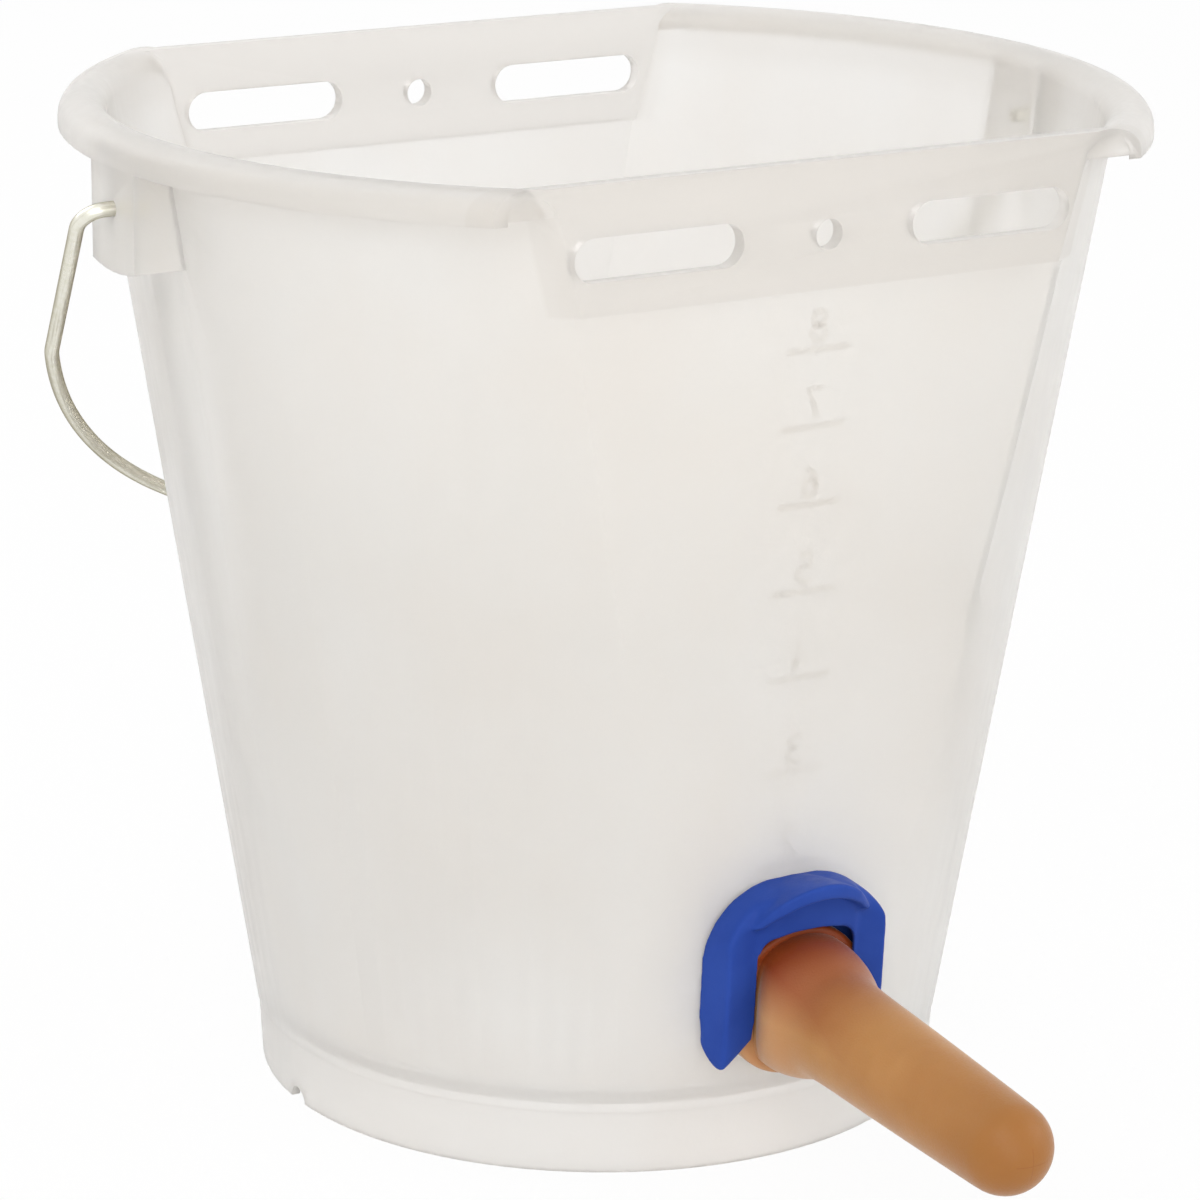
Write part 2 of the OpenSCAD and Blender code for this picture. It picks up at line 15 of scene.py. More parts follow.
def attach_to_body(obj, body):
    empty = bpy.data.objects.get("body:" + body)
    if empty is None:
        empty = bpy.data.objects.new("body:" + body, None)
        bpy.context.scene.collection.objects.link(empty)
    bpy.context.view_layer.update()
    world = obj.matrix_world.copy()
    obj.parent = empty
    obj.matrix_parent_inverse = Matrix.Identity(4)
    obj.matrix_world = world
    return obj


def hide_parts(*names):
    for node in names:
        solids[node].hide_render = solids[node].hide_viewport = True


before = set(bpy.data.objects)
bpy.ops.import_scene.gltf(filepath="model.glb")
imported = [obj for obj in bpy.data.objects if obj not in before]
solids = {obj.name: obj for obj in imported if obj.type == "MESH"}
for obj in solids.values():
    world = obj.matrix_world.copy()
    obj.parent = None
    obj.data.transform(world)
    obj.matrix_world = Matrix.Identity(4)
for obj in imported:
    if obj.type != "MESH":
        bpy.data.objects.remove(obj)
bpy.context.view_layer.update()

print("solids:", ", ".join(sorted(solids)))

# %% [markdown]
# The camera comes before any piece, because every later choice is judged through it. Its place, lens and
# slight roll were found by fitting the bucket's outline to the photograph, so they are written down here
# as numbers. A long lens keeps the rim's two flats nearly parallel.

# %% Camera
camera_place = (-0.6264, -1.0671, 0.5051)
camera_turn = {"azimuth": -30.551, "elevation": 16.792, "roll": 0.729}
lens_mm, sensor_mm = 136.94, 36
picture_shift = (-0.0089, 0.0041)
far_limit = 20


def aimed_matrix(place, azimuth, elevation, roll):
    """The camera's matrix from where it stands and how it is turned, in degrees."""
    a, e, r = (math.radians(v) for v in (azimuth, elevation, roll))
    right = Vector((math.cos(a), math.sin(a), 0))
    back = Vector((math.sin(a) * math.cos(e), -math.cos(a) * math.cos(e), math.sin(e)))
    up = back.cross(right)
    side = right * math.cos(r) + up * math.sin(r)
    top = up * math.cos(r) - right * math.sin(r)
    turn = Matrix((side, top, back)).transposed().to_4x4()
    return Matrix.Translation(place) @ turn


camera_data = bpy.data.cameras.new("camera")
camera_data.lens = lens_mm
camera_data.sensor_width = sensor_mm
camera_data.shift_x, camera_data.shift_y = picture_shift
camera_data.clip_end = far_limit
camera = bpy.data.objects.new("camera", camera_data)
bpy.context.collection.objects.link(camera)
camera.matrix_world = aimed_matrix(camera_place, **camera_turn)
bpy.context.scene.camera = camera
bpy.context.scene.view_settings.view_transform = "Standard"
print("camera at", [round(v, 3) for v in camera.location])

# %% [markdown]
# A pale moulding on a white ground needs soft light from large lamps, and a world that is white where the
# camera, a reflection or a see-through wall looks at it but dimmer where it only lights the piece.
# The light path tells those apart.

# %% Lamps and world
def soft_lamp(name, place, target, size, watts):
    """A square lamp that looks at a point."""
    data = bpy.data.lights.new(name, "AREA")
    data.size = size
    data.energy = watts
    lamp = bpy.data.objects.new(name, data)
    bpy.context.collection.objects.link(lamp)
    aim = (Vector(target) - Vector(place)).to_track_quat("-Z", "Y")
    lamp.matrix_world = Matrix.Translation(place) @ aim.to_matrix().to_4x4()
    print("lamp", name, watts, "W")


def math_node(tree, how, a, b=0.0):
    """One step of arithmetic in a node tree, on numbers or sockets."""
    node = tree.nodes.new("ShaderNodeMath")
    node.operation = how
    for socket, value in zip(node.inputs, (a, b)):
        if isinstance(value, (int, float)):
            socket.default_value = value
        else:
            tree.links.new(value, socket)
    return node.outputs[0]


def seen_white(tree):
    """1 where the camera, a reflection or a see-through wall looks, else 0."""
    ray = tree.nodes.new("ShaderNodeLightPath").outputs
    through = math_node(tree, "MAXIMUM", ray["Is Glossy Ray"], ray["Is Transmission Ray"])
    return math_node(tree, "MAXIMUM", ray["Is Camera Ray"], through)


bucket_middle, bucket_low = (0, 0, 0.14), (0, 0, 0.05)
soft_lamp("key", place=(-1.3, -1.5, 1.9), target=bucket_middle, size=1.4, watts=15)
soft_lamp("fill", place=(1.9, -1.2, 1.1), target=bucket_middle, size=1.6, watts=12)
soft_lamp("back", place=(-0.9, 1.8, 1.7), target=bucket_middle, size=1.6, watts=13)
soft_lamp("low", place=(-0.6, -2.0, 0.4), target=bucket_low, size=1.2, watts=8)

room_strength, white_strength = 0.72, 1
world = bpy.data.worlds.new("studio")
bpy.context.scene.world = world
world.use_nodes = True
sky = world.node_tree
room = sky.nodes["Background"]
white = sky.nodes.new("ShaderNodeBackground")
for background, strength in ((room, room_strength), (white, white_strength)):
    background.inputs["Color"].default_value = (1, 1, 1, 1)
    background.inputs["Strength"].default_value = strength
choose = sky.nodes.new("ShaderNodeMixShader")
sky.links.new(seen_white(sky), choose.inputs[0])
sky.links.new(room.outputs[0], choose.inputs[1])
sky.links.new(white.outputs[0], choose.inputs[2])
sky.links.new(choose.outputs[0], sky.nodes["World Output"].inputs["Surface"])

# %% [markdown]
# The floor is part of the studio, not of the bucket. It is a plain sheet whose own colour is nearly
# white. Most of it is a steady glow for the camera, so the ground reads as white paper while the rest
# still takes the soft shadow under the foot ring.

# %% Floor
floor_half, floor_z = 6, -0.0002
paper_grey, paper_roughness, paper_gloss = 0.9, 0.9, 0.1
glow_share = 0.94


def plain_sheet(name, half, z):
    """A square sheet on the ground."""
    mesh = bpy.data.meshes.new(name)
    corners = [(-half, -half, z), (half, -half, z), (half, half, z), (-half, half, z)]
    mesh.from_pydata(corners, [], [(0, 1, 2, 3)])
    sheet = bpy.data.objects.new(name, mesh)
    bpy.context.collection.objects.link(sheet)
    return sheet


def floor_paper():
    """White paper that glows for the camera and still takes a shadow."""
    paper = bpy.data.materials.new("floor_paper")
    paper.use_nodes = True
    tree = paper.node_tree
    skin = tree.nodes["Principled BSDF"]
    skin.inputs["Base Color"].default_value = (paper_grey, paper_grey, paper_grey, 1)
    skin.inputs["Roughness"].default_value = paper_roughness
    skin.inputs["Specular IOR Level"].default_value = paper_gloss
    glow = tree.nodes.new("ShaderNodeEmission")
    mix = tree.nodes.new("ShaderNodeMixShader")
    tree.links.new(math_node(tree, "MULTIPLY", seen_white(tree), glow_share), mix.inputs[0])
    tree.links.new(skin.outputs[0], mix.inputs[1])
    tree.links.new(glow.outputs[0], mix.inputs[2])
    tree.links.new(mix.outputs[0], tree.nodes["Material Output"].inputs["Surface"])
    return paper


floor = plain_sheet("floor", floor_half, floor_z)
floor.data.materials.append(floor_paper())
print("floor:", 2 * floor_half, "m wide")

# %% [markdown]
# Every finish below is a small node tree that starts from a Principled shader. A few helpers keep those
# trees short: noise in the object's own coordinates, a mix from one colour to another, and a bump.
# Colours are written as they look on a screen and turned into light values here.

# %% Helpers for finishes
def light(r, g, b):
    """Screen colour, 0 to 255, as the linear colour a shader wants."""
    def one(v):
        v /= 255
        return v / 12.92 if v <= 0.04045 else ((v + 0.055) / 1.055) ** 2.4
    return (one(r), one(g), one(b), 1)


class Finish:
    """A material with its tree, and the few nodes that these finishes share."""

    def __init__(self, name):
        self.material = bpy.data.materials.new(name)
        self.material.use_nodes = True
        self.tree = self.material.node_tree
        self.shader = self.tree.nodes["Principled BSDF"]
        self.place = self.tree.nodes.new("ShaderNodeTexCoord").outputs["Object"]

    def set(self, **values):
        """Numbers and colours that are the same all over, on the shader's own sockets."""
        for name, value in values.items():
            self.shader.inputs[name.replace("_", " ")].default_value = value

    def link(self, source, target):
        self.tree.links.new(source, target)

    def split(self, vector):
        """The x, y and z of a vector."""
        node = self.tree.nodes.new("ShaderNodeSeparateXYZ")
        self.link(vector, node.inputs[0])
        return node.outputs["X"], node.outputs["Y"], node.outputs["Z"]

    def scaled(self, x, y, z, source=None):
        node = self.tree.nodes.new("ShaderNodeMapping")
        node.inputs["Scale"].default_value = (x, y, z)
        self.link(source or self.place, node.inputs["Vector"])
        return node.outputs["Vector"]

    def stored(self, name):
        """A value that a Geometry Nodes tree kept on the piece's points."""
        node = self.tree.nodes.new("ShaderNodeAttribute")
        node.attribute_name = name
        return node.outputs["Vector"]

    def noise(self, scale, detail, source=None):
        node = self.tree.nodes.new("ShaderNodeTexNoise")
        node.inputs["Scale"].default_value = scale
        node.inputs["Detail"].default_value = detail
        self.link(source or self.place, node.inputs["Vector"])
        return node.outputs["Fac"]

    def facing(self):
        """0 where the skin faces the viewer, 1 where it turns away."""
        node = self.tree.nodes.new("ShaderNodeLayerWeight")
        node.inputs["Blend"].default_value = 0.5
        return node.outputs["Facing"]

    def spread(self, source, low, high, to_low=0.0, to_high=1.0):
        """A value from low to high, spread over to_low to to_high."""
        node = self.tree.nodes.new("ShaderNodeMapRange")
        for i, value in enumerate((low, high, to_low, to_high)):
            node.inputs[i + 1].default_value = value
        self.link(source, node.inputs[0])
        return node.outputs[0]

    def math(self, how, a, b=0.0):
        return math_node(self.tree, how, a, b)

    def tint(self, factor, first, second):
        """A mix of two colours, each a fixed one or another node's."""
        node = self.tree.nodes.new("ShaderNodeMix")
        node.data_type = "RGBA"
        self.link(factor, node.inputs["Factor"])
        for socket, value in ((node.inputs[6], first), (node.inputs[7], second)):
            if isinstance(value, tuple):
                socket.default_value = value
            else:
                self.link(value, socket)
        return node.outputs[2]

    def colour(self, source):
        self.link(source, self.shader.inputs["Base Color"])

    def rough(self, source, least, most):
        """Roughness from least to most over the middle of a noise."""
        self.link(self.spread(source, 0.3, 0.7, least, most), self.shader.inputs["Roughness"])

    def bump(self, height, strength, distance):
        node = self.tree.nodes.new("ShaderNodeBump")
        node.inputs["Strength"].default_value = strength
        node.inputs["Distance"].default_value = distance
        self.link(height, node.inputs["Height"])
        self.link(node.outputs["Normal"], self.shader.inputs["Normal"])

    def done(self):
        print(self.material.name, "has", len(self.tree.nodes), "nodes")
        return self.material


# %% [markdown]
# The bucket is thin, pale polypropylene. Light gets through it, so its shadows are shallow, and its skin
# shows soft clouds where the melt cooled, upright flow streaks, and fine scuffs. Transmission with a rough
# skin gives the milky, see-through look, and three sizes of noise give the rest. The hanging bands, the rim
# and the foot are thicker than the wall and a shade deeper, so masks find them by their place. The wall
# lets less light through low down, and where it is looked along rather than through.

# %% Bucket plastic
def bucket_plastic():
    """Pale plastic; each mask starts and ends at the two places given, in metres."""
    band_foot, band_face = (0.2455, 0.2465), (0.1075, 0.1085)
    foot_top, rim_foot = (0.0185, 0.0175), (0.262, 0.268)
    low_wall = (0.16, 0.04)
    foot_depth, rim_depth = 0.45, 0.5
    clear, milky = 0.78, 0.5
    f = Finish("bucket_plastic")
    _, y, z = f.split(f.place)
    clouds = f.spread(f.noise(scale=14, detail=4), 0.35, 0.65)
    streaks = f.spread(f.noise(scale=1, detail=4, source=f.scaled(60, 60, 4)), 0.3, 0.75)
    cast = f.math("ADD", f.math("MULTIPLY", clouds, 0.7), f.math("MULTIPLY", streaks, 0.3))
    wall = f.tint(cast, light(249, 246, 242), light(252, 251, 249))
    band = f.math("MULTIPLY", f.spread(z, *band_foot), f.spread(f.math("ABSOLUTE", y), *band_face))
    ends = f.math("MAXIMUM", f.spread(z, *foot_top, 0, foot_depth), f.spread(z, *rim_foot, 0, rim_depth))
    f.colour(f.tint(f.math("MAXIMUM", band, ends), wall, light(242, 239, 235)))
    dense = f.math("MAXIMUM", f.spread(z, *low_wall), f.spread(f.facing(), 0.45, 0.95))
    f.link(f.spread(dense, 0, 1, clear, milky), f.shader.inputs["Transmission Weight"])
    scuffs = f.noise(scale=1, detail=6, source=f.scaled(420, 420, 60))
    f.rough(scuffs, 0.34, 0.44)
    f.bump(f.noise(scale=900, detail=2), strength=0.06, distance=0.0004)
    f.set(IOR=1.3, Specular_IOR_Level=0.3)
    return f.done()


finishes = {"bucket": bucket_plastic()}

# %% [markdown]
# The litre marks are beads of the same plastic on the inside of the wall. Through the wall they show only as
# a faint change of tone, so their finish bends light hardly at all and is a touch greyer than the wall.

# %% Mark plastic
def mark_plastic():
    f = Finish("mark_plastic")
    cloud = f.spread(f.noise(scale=200, detail=3), 0.35, 0.65)
    f.colour(f.tint(cloud, light(243, 241, 238), light(248, 246, 243)))
    f.rough(f.noise(scale=900, detail=2), 0.35, 0.45)
    f.bump(f.noise(scale=1200, detail=2), strength=0.05, distance=0.0003)
    f.set(Transmission_Weight=0.9, IOR=1.03)
    return f.done()


mark_finish = mark_plastic()

# %% [markdown]
# The bail is drawn steel wire dipped in zinc: a beige grey metal with darker streaks along its length, partly
# worn zinc and partly painted dark reflection, and small pits. The streaks follow the wire, so they read the
# map that the wire-making tree stores. The shader's specular tint dulls the metal's gloss towards its edges.

# %% Wire zinc
def wire_zinc():
    f = Finish("wire_zinc")
    streaks = f.noise(scale=1, detail=4, source=f.scaled(40, 14, 1, f.stored("along")))
    mottle = f.spread(f.noise(scale=700, detail=3), 0.3, 0.7)
    zinc = f.tint(mottle, light(234, 232, 217), light(245, 243, 233))
    worn_and_reflection = f.spread(streaks, 0.5, 0.68, 0, 0.4)
    # Darker streaks: partly worn zinc, partly a painted dark reflection.
    f.colour(f.tint(worn_and_reflection, zinc, light(150, 143, 119)))
    f.rough(streaks, 0.24, 0.4)
    f.bump(f.math("ADD", streaks, f.math("MULTIPLY", mottle, 0.5)), strength=0.15, distance=0.0002)
    f.set(Metallic=1.0, Specular_Tint=light(140, 132, 110))
    return f.done()


finishes["bail"] = wire_zinc()

# %% [markdown]
# The teat is amber rubber that lets a little light in. Its body is tan, with a matt, faintly speckled skin.
# On top of its bulb, under the clip's hood, its colour is painted deeper and redder: painted shade of the
# hood. The bulb's sides are painted pale: a painted sheen. A hair line of colour on the tip stands for its
# closed cross slit. The change of colour follows the teat's own axis, so it reads the place that the lathe
# below stores with each point.

# %% Amber rubber
def amber_rubber():
    """Amber rubber; each change of tone starts and ends at the two places given, in metres."""
    bulb_length, bulb_side, bulb_end = (0.014, 0.054), (0.014, 0.002), (0.036, 0.020)
    front_part = (0.07, 0.115)
    slit_width, slit_reach, tip_face = (0.00005, 0.0002), (0.0042, 0.0047), (0.113, 0.112)
    f = Finish("amber_rubber")
    x, y, z = f.split(f.stored("turned"))
    speckle = f.noise(scale=1500, detail=2)
    cloud = f.noise(scale=60, detail=3)
    tan = f.tint(f.spread(cloud, 0.3, 0.7), light(177, 123, 67), light(188, 135, 78))
    length = f.tint(f.spread(z, *front_part), tan, light(162, 107, 51))
    # Painted sheen: the bulb near the flat is painted pale.
    pale_sheen = f.tint(f.spread(z, *bulb_end), length, light(194, 143, 97))
    # Painted shade: the top of the bulb, under the clip's hood, is painted deeper and redder.
    off_hood_shade = f.math("MAXIMUM", f.spread(z, *bulb_length), f.spread(y, *bulb_side))
    body = f.tint(off_hood_shade, light(143, 62, 20), pale_sheen)
    across, down = f.math("ABSOLUTE", x), f.math("ABSOLUTE", y)
    beside = f.spread(f.math("MINIMUM", across, down), *slit_width)
    beyond = f.spread(f.math("MAXIMUM", across, down), *slit_reach)
    off_slit = f.math("MAXIMUM", f.math("MAXIMUM", beside, beyond), f.spread(z, *tip_face))
    f.colour(f.tint(off_slit, light(155, 98, 48), body))
    f.rough(speckle, 0.38, 0.52)
    f.bump(f.math("ADD", speckle, f.math("MULTIPLY", cloud, 0.6)), strength=0.15, distance=0.0004)
    f.set(Subsurface_Weight=0.3, Subsurface_Scale=0.004, Subsurface_Radius=(1, 0.5, 0.25))
    f.set(Specular_IOR_Level=0.3, Sheen_Weight=0.2, Sheen_Roughness=0.35)
    return f.done()


finishes["teat"] = amber_rubber()

# %% [markdown]
# The clip is blue moulded plastic, a satin finish with a light grain, a touch paler where fingers and the
# wall have rubbed it.

# %% Clip plastic
def clip_plastic():
    f = Finish("clip_plastic")
    cloud = f.spread(f.noise(scale=45, detail=4), 0.35, 0.65)
    rubs = f.noise(scale=1, detail=5, source=f.scaled(300, 300, 70))
    f.colour(f.tint(cloud, light(40, 68, 151), light(47, 77, 163)))
    f.rough(rubs, 0.36, 0.5)
    f.bump(f.math("ADD", f.noise(scale=1400, detail=2), rubs), strength=0.12, distance=0.0004)
    f.set(Subsurface_Weight=0.06, Subsurface_Scale=0.002, Subsurface_Radius=(0.3, 0.5, 1))
    f.set(Specular_IOR_Level=0.06)
    return f.done()


finishes["retaining_clip"] = clip_plastic()

# %% [markdown]
# The valve sits behind the teat and the clip, and only its flange and hole show inside the bucket. Its
# pieces keep their solids' shapes and get the same care in three short trees: white moulded plastic, black
# seal rubber, and a smooth ball. With these, every solid has its finish.

# %% Valve finishes
def valve_plastic():
    f = Finish("valve_plastic")
    cloud = f.spread(f.noise(scale=70, detail=4), 0.35, 0.65)
    f.colour(f.tint(cloud, light(226, 226, 220), light(238, 238, 234)))
    f.rough(f.noise(scale=500, detail=3), 0.34, 0.46)
    f.bump(f.noise(scale=1100, detail=2), strength=0.12, distance=0.0004)
    f.set(IOR=1.49, Subsurface_Weight=0.2, Subsurface_Scale=0.003)
    return f.done()


def seal_rubber():
    f = Finish("seal_rubber")
    cloud = f.spread(f.noise(scale=120, detail=4), 0.3, 0.7)
    f.colour(f.tint(cloud, light(34, 34, 36), light(52, 52, 54)))
    f.rough(f.noise(scale=800, detail=3), 0.5, 0.7)
    f.bump(f.noise(scale=1600, detail=2), strength=0.2, distance=0.0004)
    return f.done()


def ball_plastic():
    f = Finish("ball_plastic")
    cloud = f.spread(f.noise(scale=90, detail=3), 0.3, 0.7)
    f.colour(f.tint(cloud, light(232, 232, 228), light(243, 243, 240)))
    f.rough(f.noise(scale=600, detail=3), 0.2, 0.32)
    f.bump(f.noise(scale=900, detail=2), strength=0.08, distance=0.0003)
    f.set(IOR=1.5)
    return f.done()


finishes["valve_body"] = valve_plastic()
finishes["valve_seal"] = seal_rubber()
finishes["valve_ball"] = ball_plastic()
for name, solid in solids.items():
    solid.data.materials.clear()
    solid.data.materials.append(finishes[name])
print("finishes:", len(finishes))

# %% [markdown]
# A moulded edge is never knife sharp. The bucket starts as a copy of its solid, with the doubled corner
# points merged and the flat areas joined, so that a bevel finds only true edges. The bevel is then made
# real, and the soft shading stops at whatever stays sharp.

# %% Bucket
def bake(piece):
    """Turn a piece's modifiers into plain mesh."""
    done = piece.evaluated_get(bpy.context.evaluated_depsgraph_get())
    mesh = bpy.data.meshes.new_from_object(done)
    piece.modifiers.clear()
    piece.data = mesh
    return mesh


def new_piece(name, mesh):
    """A mesh as an object of the scene, at the origin."""
    piece = bpy.data.objects.new(name, mesh)
    bpy.context.collection.objects.link(piece)
    return piece


def merged_copy(node, flat_angle=None):
    """A copy of a solid with its double points merged and, within an angle, its flat areas joined."""
    form = bmesh.new()
    form.from_mesh(solids[node].data)
    bmesh.ops.remove_doubles(form, verts=form.verts, dist=1e-5)
    if flat_angle is not None:
        limit = math.radians(flat_angle)
        bmesh.ops.dissolve_limit(form, angle_limit=limit, verts=form.verts, edges=form.edges)
    mesh = bpy.data.meshes.new(node + "_skin")
    form.to_mesh(mesh)
    form.free()
    return new_piece(node + "_skin", mesh)


def round_edges(piece, width, segments, angle):
    """Round every edge over an angle."""
    bevel = piece.modifiers.new("edges", "BEVEL")
    bevel.width = width
    bevel.segments = segments
    bevel.limit_method = "ANGLE"
    bevel.angle_limit = math.radians(angle)
    bevel.miter_outer = "MITER_ARC"
    bake(piece)


def shade(piece, sharp_angle=None):
    """Soft shading that stops at edges over an angle."""
    piece.data.shade_smooth()
    if sharp_angle is not None:
        piece.data.set_sharp_from_angle(angle=math.radians(sharp_angle))
    print(piece.name, "has", len(piece.data.polygons), "faces")


def attach(piece, finish, body):
    """Give a piece its finish and the body that it moves with."""
    piece.data.materials.clear()
    piece.data.materials.append(finish)
    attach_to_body(piece, body)


def dress(piece, node, body):
    """A piece stands for a solid and takes its finish."""
    attach(piece, finishes[node], body)
    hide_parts(node)


bucket = merged_copy("bucket", flat_angle=0.2)
round_edges(bucket, width=0.0006, segments=2, angle=30)
shade(bucket, sharp_angle=35)
dress(bucket, "bucket", "bucket")

# %% [markdown]
# The clip is a thicker moulding whose edges all flow into each other, more like soap than sheet metal. A
# voxel remesh turns its solid into one even skin, and a few rounds of smoothing melt the edges. The legs'
# tips and the hood's two ends are rounder still, so more rounds work there alone, by a weight for each
# point. Smoothing draws the tips in, so they are lowered again, with their back and front corners lifted in
# curves. All of this is measured in the outlet's frame: across, up the flat, and out from it.

# %% Clip
flat_lean = math.atan(0.06)
outlet_place = (0, -0.1001, 0.050)
outlet = Matrix.Translation(outlet_place) @ Matrix.Rotation(math.radians(90) + flat_lean, 4, "X")


def points_of(mesh):
    """Every point of a mesh, one to a row."""
    points = np.empty(len(mesh.vertices) * 3)
    mesh.vertices.foreach_get("co", points)
    return points.reshape(-1, 3)


def outlet_places(mesh):
    """Every point of a mesh in the outlet's frame, in mm."""
    to_outlet = np.array(outlet.inverted())
    return 1000 * (points_of(mesh) @ to_outlet[:3, :3].T + to_outlet[:3, 3])


def even_skin(piece, voxel):
    """Remake a piece with one even skin."""
    skin = piece.modifiers.new("skin", "REMESH")
    skin.mode = "VOXEL"
    skin.voxel_size = voxel
    bake(piece)


def melt(piece, rounds, weights=None):
    """Rounds of smoothing, all over or by a weight for each point."""
    smooth = piece.modifiers.new("melt", "SMOOTH")
    smooth.factor = 0.5
    smooth.iterations = rounds
    if weights is not None:
        group = piece.vertex_groups.new(name="melt")
        for index in np.flatnonzero(weights > 0.01):
            group.add([int(index)], float(weights[index]), "REPLACE")
        smooth.vertex_group = group.name
    bake(piece)
    piece.vertex_groups.clear()


def soft_places(mesh):
    """A weight for each point: full at the legs' tips and the hood's two ends, none elsewhere."""
    tip_start, tip_fade = -3, 5
    end_across, end_up, end_out = 18, 25.5, 11
    end_reach, end_fade = 1.6, 6
    across, up, out = outlet_places(mesh).T
    tips = (tip_start - up) / tip_fade
    gap = np.sqrt((np.abs(across) - end_across) ** 2 + (up - end_up) ** 2 + (out - end_out) ** 2)
    return np.clip(np.maximum(tips, end_reach - gap / end_fade), 0, 1)


def shape_tips(mesh, lift_back, lift_front, drop):
    """Lower the legs' tips, and lift their back and front corners in curves, in mm."""
    tip_start, tip_fade = -2, 12
    leg_middle, back_fade, front_fade = 7.5, 7, 3.5
    places = outlet_places(mesh)
    up, out = places[:, 1], places[:, 2]
    share = np.clip((tip_start - up) / tip_fade, 0, 1)
    back = np.clip((leg_middle - out) / back_fade, 0, 1)
    front = np.clip((out - leg_middle) / front_fade, 0, 1)
    places[:, 1] += share * (lift_back * back ** 2 + lift_front * front ** 2 - drop)
    mesh.vertices.foreach_set("co", (places / 1000).ravel())
    mesh.transform(outlet)


def thin_out(piece, ratio):
    """Keep a share of a piece's faces."""
    fewer = piece.modifiers.new("fewer", "DECIMATE")
    fewer.ratio = ratio
    bake(piece)


clip = merged_copy("retaining_clip")
even_skin(clip, voxel=0.0003)
melt(clip, rounds=60)
melt(clip, rounds=250, weights=soft_places(clip.data))
shape_tips(clip.data, lift_back=5.5, lift_front=2, drop=2.2)
thin_out(clip, ratio=0.25)
shade(clip)
dress(clip, "retaining_clip", "clip")

# %% [markdown]
# The bail is round wire, and the litre marks are round beads along their strokes, so both follow a line. A
# Geometry Nodes tree carries a round section along such a line. It also stores how far along and around the
# wire each point lies, which the zinc's streaks need.

# %% Wire tree
class Tree:
    """A Geometry Nodes tree with named inputs."""

    def __init__(self, name, **inputs):
        self.group = bpy.data.node_groups.new(name, "GeometryNodeTree")
        face = self.group.interface
        face.new_socket("Geometry", in_out="INPUT", socket_type="NodeSocketGeometry")
        self.names = {}
        for label, kind in inputs.items():
            socket = face.new_socket(label, in_out="INPUT", socket_type="NodeSocket" + kind)
            self.names[label] = socket.identifier
        face.new_socket("Geometry", in_out="OUTPUT", socket_type="NodeSocketGeometry")
        self.source = self.node("NodeGroupInput")
        self.end = self.node("NodeGroupOutput")

    def node(self, kind, **settings):
        made = self.group.nodes.new(kind)
        for name, value in settings.items():
            setattr(made, name, value)
        return made

    def link(self, source, target):
        self.group.links.new(source, target)

    def math(self, how, a, b=0.0):
        return math_node(self.group, how, a, b)

    def close(self, geometry):
        """Realize, give the finish, and hand the geometry out."""
        real = self.node("GeometryNodeRealizeInstances")
        self.link(geometry, real.inputs[0])
        paint = self.node("GeometryNodeSetMaterial")
        self.link(real.outputs[0], paint.inputs["Geometry"])
        self.link(self.source.outputs["Material"], paint.inputs["Material"])
        self.link(paint.outputs[0], self.end.inputs[0])
        print(self.group.name, "tree has", len(self.group.nodes), "nodes")

    def run(self, piece, **values):
        """Make the tree's work on a piece real."""
        modifier = piece.modifiers.new("tree", "NODES")
        modifier.node_group = self.group
        for label, value in values.items():
            modifier[self.names[label]] = value
        return bake(piece)


def wire_tree():
    t = Tree("wire", Radius="Float", Sides="Int", Material="Material")
    line = t.node("GeometryNodeMeshToCurve")
    t.link(t.source.outputs["Geometry"], line.inputs["Mesh"])
    section = t.node("GeometryNodeCurvePrimitiveCircle")
    t.link(t.source.outputs["Sides"], section.inputs["Resolution"])
    t.link(t.source.outputs["Radius"], section.inputs["Radius"])
    along = t.node("GeometryNodeCaptureAttribute", domain="POINT")
    along.capture_items.new("FLOAT", "along")
    t.link(line.outputs[0], along.inputs["Geometry"])
    place = t.node("GeometryNodeSplineParameter")
    t.link(place.outputs["Length"], along.inputs["along"])
    around = t.node("GeometryNodeCaptureAttribute", domain="POINT")
    around.capture_items.new("FLOAT", "around")
    t.link(section.outputs["Curve"], around.inputs["Geometry"])
    t.link(place.outputs["Factor"], around.inputs["around"])
    tube = t.node("GeometryNodeCurveToMesh")
    t.link(along.outputs["Geometry"], tube.inputs["Curve"])
    t.link(around.outputs["Geometry"], tube.inputs["Profile Curve"])
    tube.inputs["Fill Caps"].default_value = True
    both = t.node("ShaderNodeCombineXYZ")
    t.link(along.outputs["along"], both.inputs["X"])
    t.link(around.outputs["around"], both.inputs["Y"])
    keep = t.node("GeometryNodeStoreNamedAttribute", data_type="FLOAT_VECTOR", domain="POINT")
    keep.inputs["Name"].default_value = "along"
    t.link(tube.outputs[0], keep.inputs["Geometry"])
    t.link(both.outputs[0], keep.inputs["Value"])
    t.close(keep.outputs[0])
    return t


wire = wire_tree()

# %% [markdown]
# The bail is bent in one plane, so half of its middle line is drawn there first, as arcs and straight runs
# from the end in the ear to the middle. The other half mirrors it. The plane is then tilted about the ears,
# to the angle at which the wire hangs against the wall at the back.

# %% Bail
def arc(centre, radius, start, stop, step):
    """Points on an arc, angles in degrees."""
    count = max(2, int(abs(stop - start) / step) + 1)
    turns = np.radians(np.linspace(start, stop, count))
    return [(centre[0] + radius * math.cos(a), centre[1] + radius * math.sin(a)) for a in turns]


def straight(first, last, parts):
    """Points on a straight run, without its first."""
    shares = [k / parts for k in range(1, parts + 1)]
    return [tuple(a + (b - a) * share for a, b in zip(first, last)) for share in shares]


